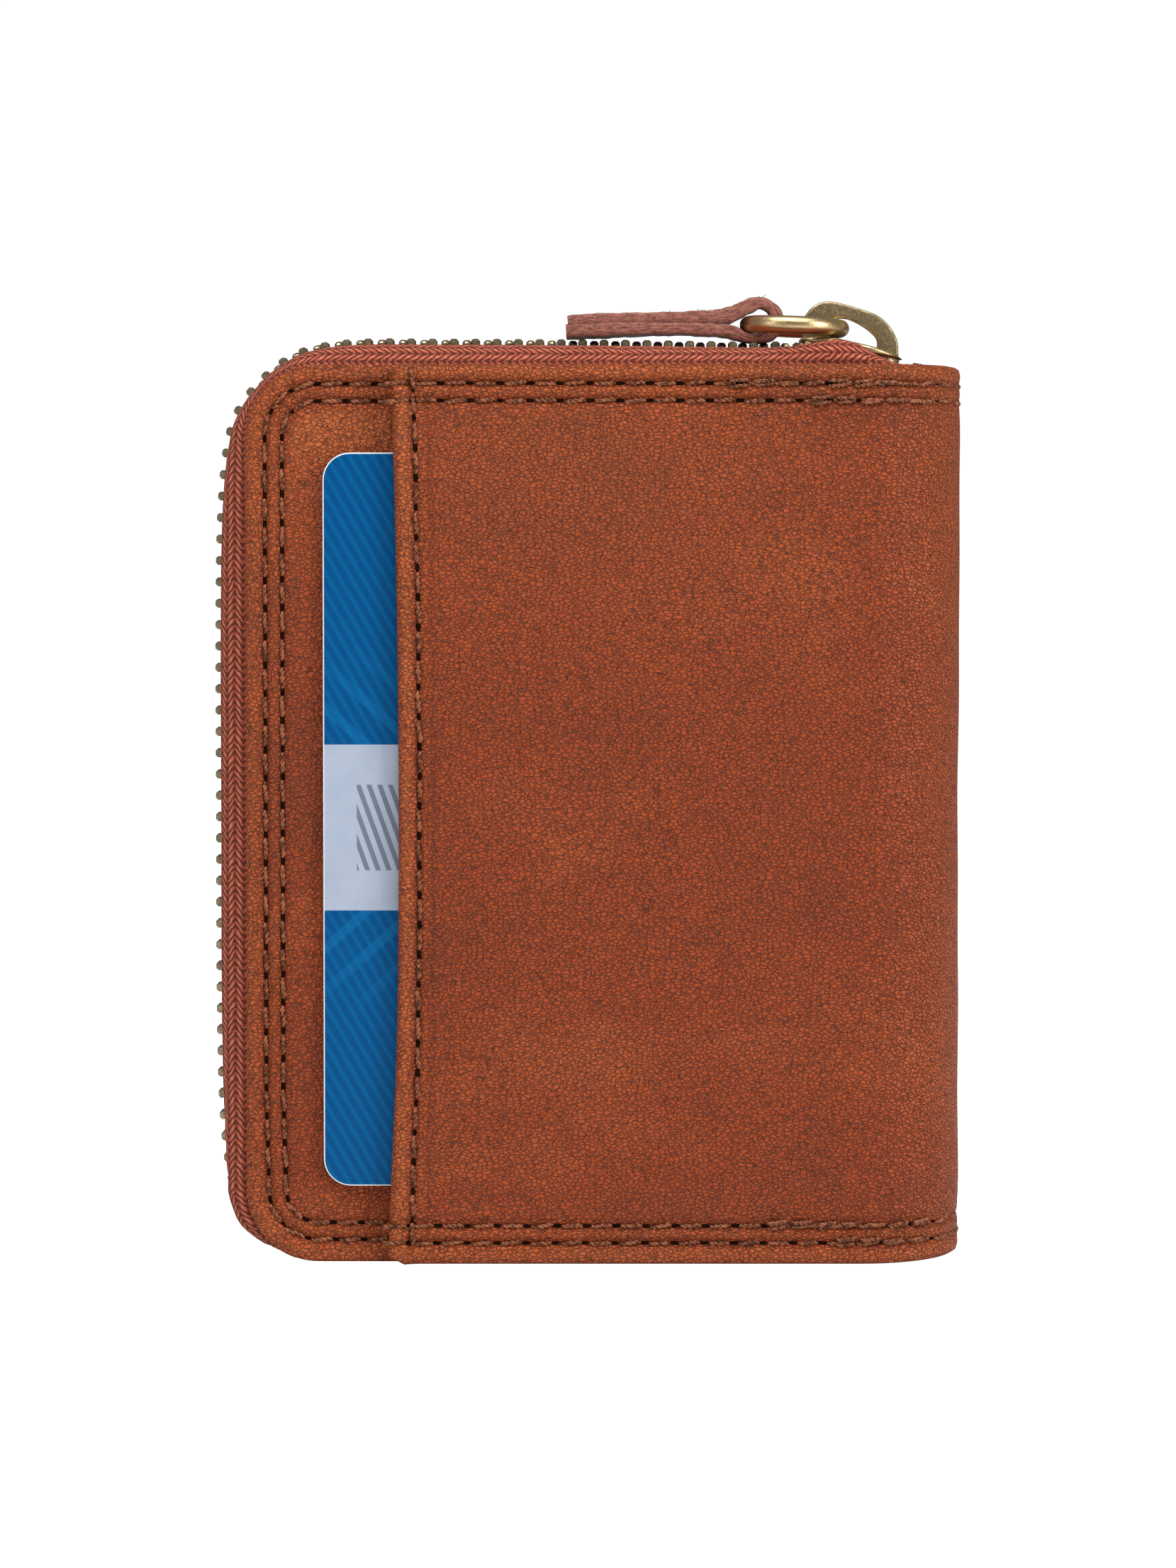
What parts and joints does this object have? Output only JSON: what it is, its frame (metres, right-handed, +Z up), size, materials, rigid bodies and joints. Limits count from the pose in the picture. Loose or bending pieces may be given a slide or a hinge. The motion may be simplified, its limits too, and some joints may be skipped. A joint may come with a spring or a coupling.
{
  "type": "zip-around card and cash wallet",
  "caption": "Upright bifold leather wallet closed by a zip on three sides, with an outer card pocket, a sliding card, inner card slots and a ring-hung leather zip pull.",
  "frame": {"origin": "middle of the footprint, on the surface that the closed wallet stands on", "axes": "+X from the zip side to the spine, +Y from the back face with the outer card pocket to the front face, +Z up"},
  "size_m": [0.088, 0.024, 0.1133],
  "materials": {
    "tan_leather": "smooth waxed cognac leather with a fine grain",
    "inner_leather": "matte brown leather",
    "pull_leather": "thick leather with raw suede edges",
    "board": "bonded leather-fibre board",
    "padding": "thin padding felt",
    "lining": "woven lining",
    "thread": "waxed twisted thread",
    "zip_tape": "woven herringbone tape",
    "old_brass": "antique brass, rubbed bright on the edges",
    "ring_brass": "satin brass",
    "card": "laminated card, satin"
  },
  "bodies": {
    "back_half": {"base_panel": "tan_leather", "pocket_panel": "tan_leather", "back_board": "board", "back_lining": "lining", "back_inner_panel": "inner_leather", "back_slot_1": "inner_leather", "back_slot_2": "inner_leather", "back_slot_3": "inner_leather", "back_rim_thread": "thread", "pocket_hem_thread": "thread", "back_zip_tape": "zip_tape", "back_zip_teeth": "old_brass", "back_top_stop": "old_brass", "zip_bottom_stop": "old_brass"},
    "spine": {"spine_leather": "tan_leather", "spine_lining": "lining", "spine_thread": "thread"},
    "front_half": {"front_leather": "tan_leather", "front_padding": "padding", "front_board": "board", "front_lining": "lining", "front_inner_panel": "inner_leather", "front_slot_1": "inner_leather", "front_slot_2": "inner_leather", "front_slot_3": "inner_leather", "front_rim_thread": "thread", "front_zip_tape": "zip_tape", "front_zip_teeth": "old_brass", "front_top_stop": "old_brass"},
    "card": {"id_card": "card"},
    "slider": {"slider_body": "old_brass", "slider_bridge": "old_brass"},
    "ring": {"pull_ring": "ring_brass"},
    "pull": {"leather_pull": "pull_leather"}
  },
  "joints": [
    {"name": "back_fold", "type": "hinge", "parent": "back_half", "child": "spine", "pos_m": [0.03887, -0.012, 0.0525], "axis": [0, 0, -1], "range_deg": [0, 85]},
    {"name": "front_fold", "type": "hinge", "parent": "spine", "child": "front_half", "pos_m": [0.03887, 0.012, 0.0525], "axis": [0, 0, -1], "range_deg": [0, 85]},
    {"name": "slider_travel", "type": "slide", "parent": "back_half", "child": "slider", "axis": [-0.9994, 0, 0.034], "range_m": [0, 0.045], "deforming": ["back_zip_tape", "front_zip_tape", "back_zip_teeth", "front_zip_teeth"]},
    {"name": "ring_swing", "type": "hinge", "parent": "slider", "child": "ring", "pos_m": [0.0299, 0, 0.10953], "axis": [0, 1, 0], "range_deg": [0, 120]},
    {"name": "pull_swing", "type": "hinge", "parent": "ring", "child": "pull", "pos_m": [0.01901, 0, 0.10998], "axis": [0, 1, 0], "range_deg": [0, 60]},
    {"name": "card_slide", "type": "slide", "parent": "back_half", "child": "card", "axis": [-1, 0, 0], "range_m": [0, 0.04]}
  ],
  "couplings": [
    {"joint": "back_fold", "follows": "front_fold", "ratio": 1}
  ]
}
